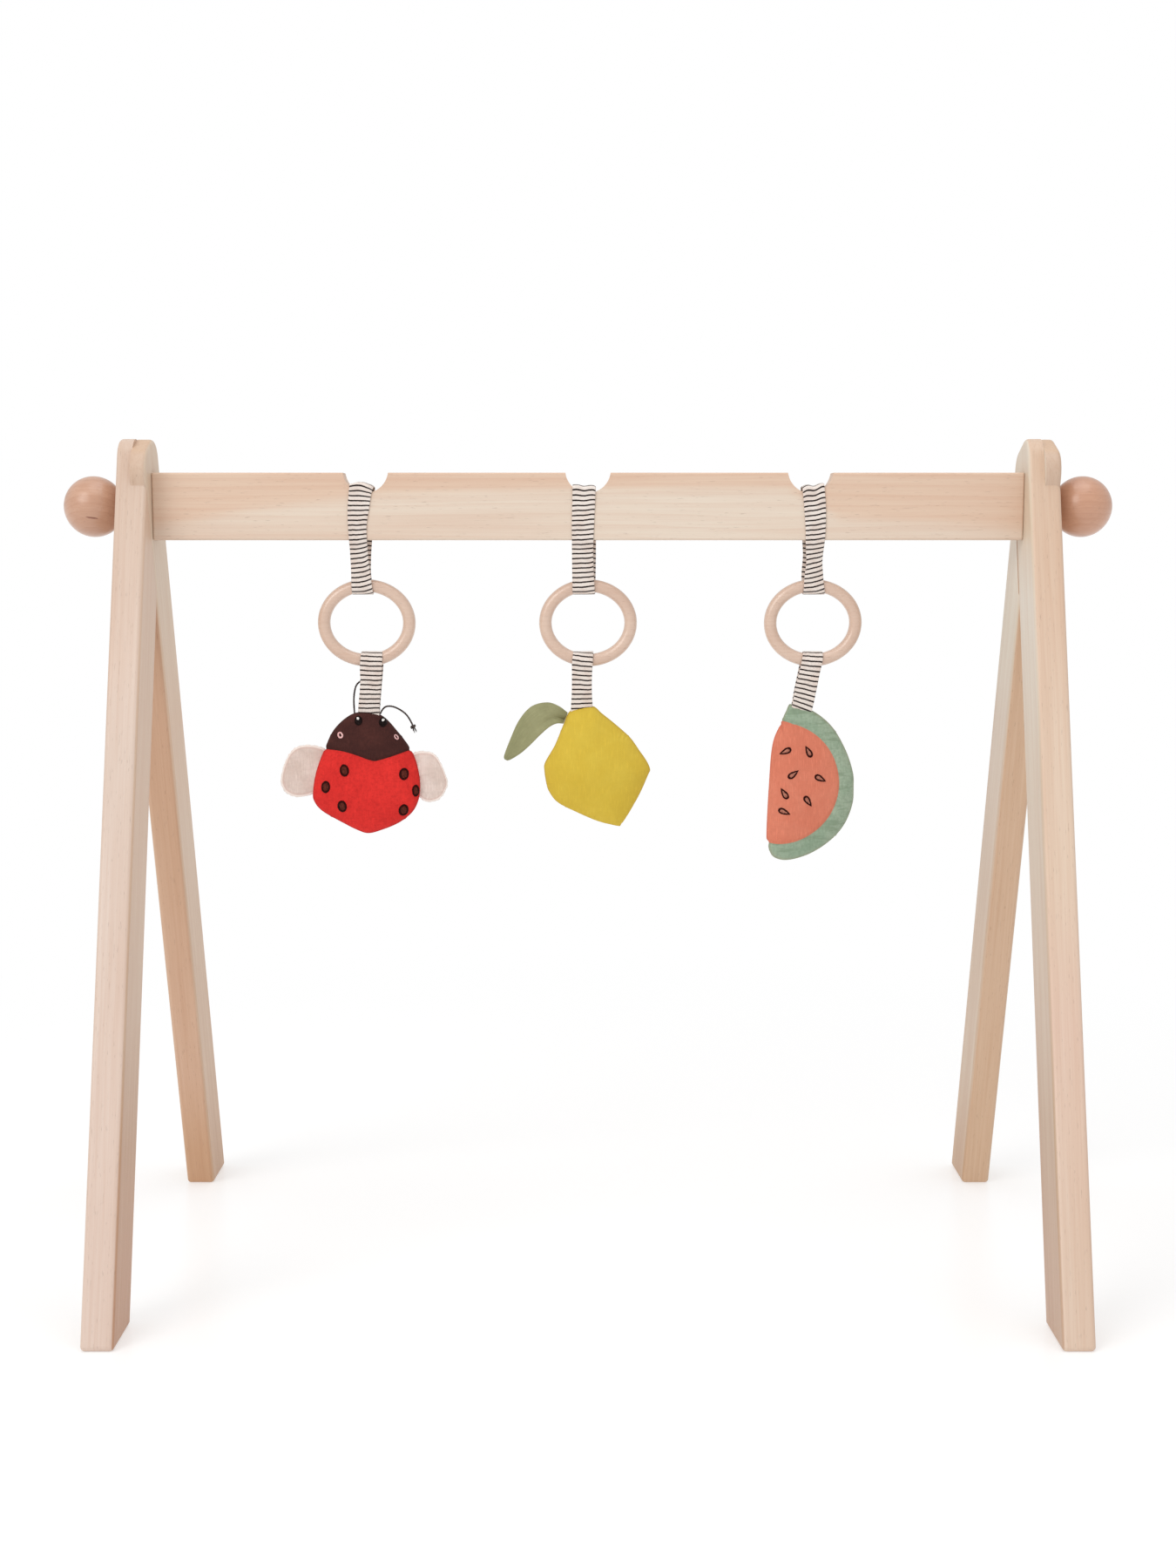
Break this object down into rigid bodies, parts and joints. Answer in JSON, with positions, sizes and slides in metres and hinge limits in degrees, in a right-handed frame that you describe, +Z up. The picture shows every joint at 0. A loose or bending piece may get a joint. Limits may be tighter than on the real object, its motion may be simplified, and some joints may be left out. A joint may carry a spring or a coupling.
{
  "type": "baby activity play gym",
  "caption": "Wooden baby play gym: lapped A-frame legs, a notched cross bar held by ball knobs, and soft toys that hang from striped ribbons and wooden rings.",
  "frame": {"origin": "on the floor, midway between the four feet", "axes": "+X along the cross bar, to the viewer's right; +Y from the front feet to the rear feet; +Z up"},
  "size_m": [0.7442, 0.4562, 0.5919],
  "materials": {
    "frame_wood": "sanded, matt water-based lacquer",
    "bar_wood": "sanded, matt water-based lacquer",
    "knob_wood": "turned and satin lacquered",
    "dowel_wood": "raw, glued",
    "ring_wood": "turned and satin lacquered",
    "brass_insert": "plain threaded insert",
    "steel_stud": "zinc-plated thread",
    "striped_ribbon": "woven cotton ribbon with fine dark stripes",
    "red_fabric": "brushed cotton",
    "brown_fabric": "brushed cotton",
    "wing_fabric": "light cotton with a fine print",
    "brown_thread": "satin-stitch embroidery",
    "dark_thread": "satin-stitch embroidery",
    "pink_thread": "chain-stitch embroidery",
    "antenna_cord": "waxed cotton cord",
    "yellow_fabric": "plain-weave cotton",
    "leaf_fabric": "plain-weave cotton",
    "coral_fabric": "plain-weave cotton",
    "sage_fabric": "brushed cotton",
    "fibre_filling": "polyester fibre"
  },
  "bodies": {
    "root": {"leg_front_left": "frame_wood", "leg_rear_left": "frame_wood", "bar_insert_left": "brass_insert", "locating_dowel_left": "dowel_wood", "leg_front_right": "frame_wood", "leg_rear_right": "frame_wood", "bar_insert_right": "brass_insert", "locating_dowel_right": "dowel_wood", "strap_saddle_ladybird": "striped_ribbon", "strap_saddle_lemon": "striped_ribbon", "strap_saddle_melon": "striped_ribbon", "cross_bar": "bar_wood"},
    "knob_left": {"ball_knob_left": "knob_wood", "knob_insert_left": "brass_insert", "knob_stud_left": "steel_stud"},
    "knob_right": {"ball_knob_right": "knob_wood", "knob_insert_right": "brass_insert", "knob_stud_right": "steel_stud"},
    "ladybird_strap": {"strap_loop_ladybird": "striped_ribbon"},
    "ladybird_ring": {"ring_ladybird": "ring_wood"},
    "ladybird_toy": {"toy_tab_ladybird": "striped_ribbon", "ladybird_head": "brown_fabric", "ladybird_body": "red_fabric", "ladybird_filling": "fibre_filling", "ladybird_wing_left": "wing_fabric", "ladybird_wing_right": "wing_fabric", "ladybird_spots": "brown_thread", "ladybird_eyes": "dark_thread", "ladybird_cheeks": "pink_thread", "antenna_left": "antenna_cord", "antenna_right": "antenna_cord", "antenna_knot_left": "antenna_cord", "antenna_knot_right": "antenna_cord"},
    "lemon_strap": {"strap_loop_lemon": "striped_ribbon"},
    "lemon_ring": {"ring_lemon": "ring_wood"},
    "lemon_toy": {"toy_tab_lemon": "striped_ribbon", "lemon_cover": "yellow_fabric", "lemon_filling": "fibre_filling", "lemon_leaf": "leaf_fabric"},
    "melon_strap": {"strap_loop_melon": "striped_ribbon"},
    "melon_ring": {"ring_melon": "ring_wood"},
    "melon_toy": {"toy_tab_melon": "striped_ribbon", "melon_flesh": "coral_fabric", "melon_rind": "sage_fabric", "melon_filling": "fibre_filling", "melon_seeds": "brown_thread"}
  },
  "joints": [
    {"name": "knob_left_turn", "type": "hinge", "parent": "root", "child": "knob_left", "pos_m": [-0.3301, 0, 0.545], "axis": [-1, 0, 0], "continuous": true},
    {"name": "knob_right_turn", "type": "hinge", "parent": "root", "child": "knob_right", "pos_m": [0.3301, 0, 0.545], "axis": [1, 0, 0], "continuous": true},
    {"name": "ladybird_strap_swing", "type": "hinge", "parent": "root", "child": "ladybird_strap", "pos_m": [-0.1585, 0, 0.5215], "axis": [1, 0, 0], "range_deg": [-25, 25]},
    {"name": "ladybird_ring_swing", "type": "hinge", "parent": "ladybird_strap", "child": "ladybird_ring", "pos_m": [-0.1585, 0, 0.4895], "axis": [1, 0, 0], "range_deg": [-60, 60]},
    {"name": "ladybird_toy_swing", "type": "hinge", "parent": "ladybird_ring", "child": "ladybird_toy", "pos_m": [-0.1585, 0, 0.4365], "axis": [1, 0, 0], "range_deg": [-60, 60]},
    {"name": "lemon_strap_swing", "type": "hinge", "parent": "root", "child": "lemon_strap", "pos_m": [0, 0, 0.5215], "axis": [1, 0, 0], "range_deg": [-25, 25]},
    {"name": "lemon_ring_swing", "type": "hinge", "parent": "lemon_strap", "child": "lemon_ring", "pos_m": [0, 0, 0.4895], "axis": [1, 0, 0], "range_deg": [-60, 60]},
    {"name": "lemon_toy_swing", "type": "hinge", "parent": "lemon_ring", "child": "lemon_toy", "pos_m": [0, 0, 0.4365], "axis": [1, 0, 0], "range_deg": [-60, 60]},
    {"name": "melon_strap_swing", "type": "hinge", "parent": "root", "child": "melon_strap", "pos_m": [0.161, 0, 0.5215], "axis": [1, 0, 0], "range_deg": [-25, 25]},
    {"name": "melon_ring_swing", "type": "hinge", "parent": "melon_strap", "child": "melon_ring", "pos_m": [0.161, 0, 0.4895], "axis": [1, 0, 0], "range_deg": [-60, 60]},
    {"name": "melon_toy_swing", "type": "hinge", "parent": "melon_ring", "child": "melon_toy", "pos_m": [0.161, 0, 0.4365], "axis": [1, 0, 0], "range_deg": [-60, 60]}
  ]
}
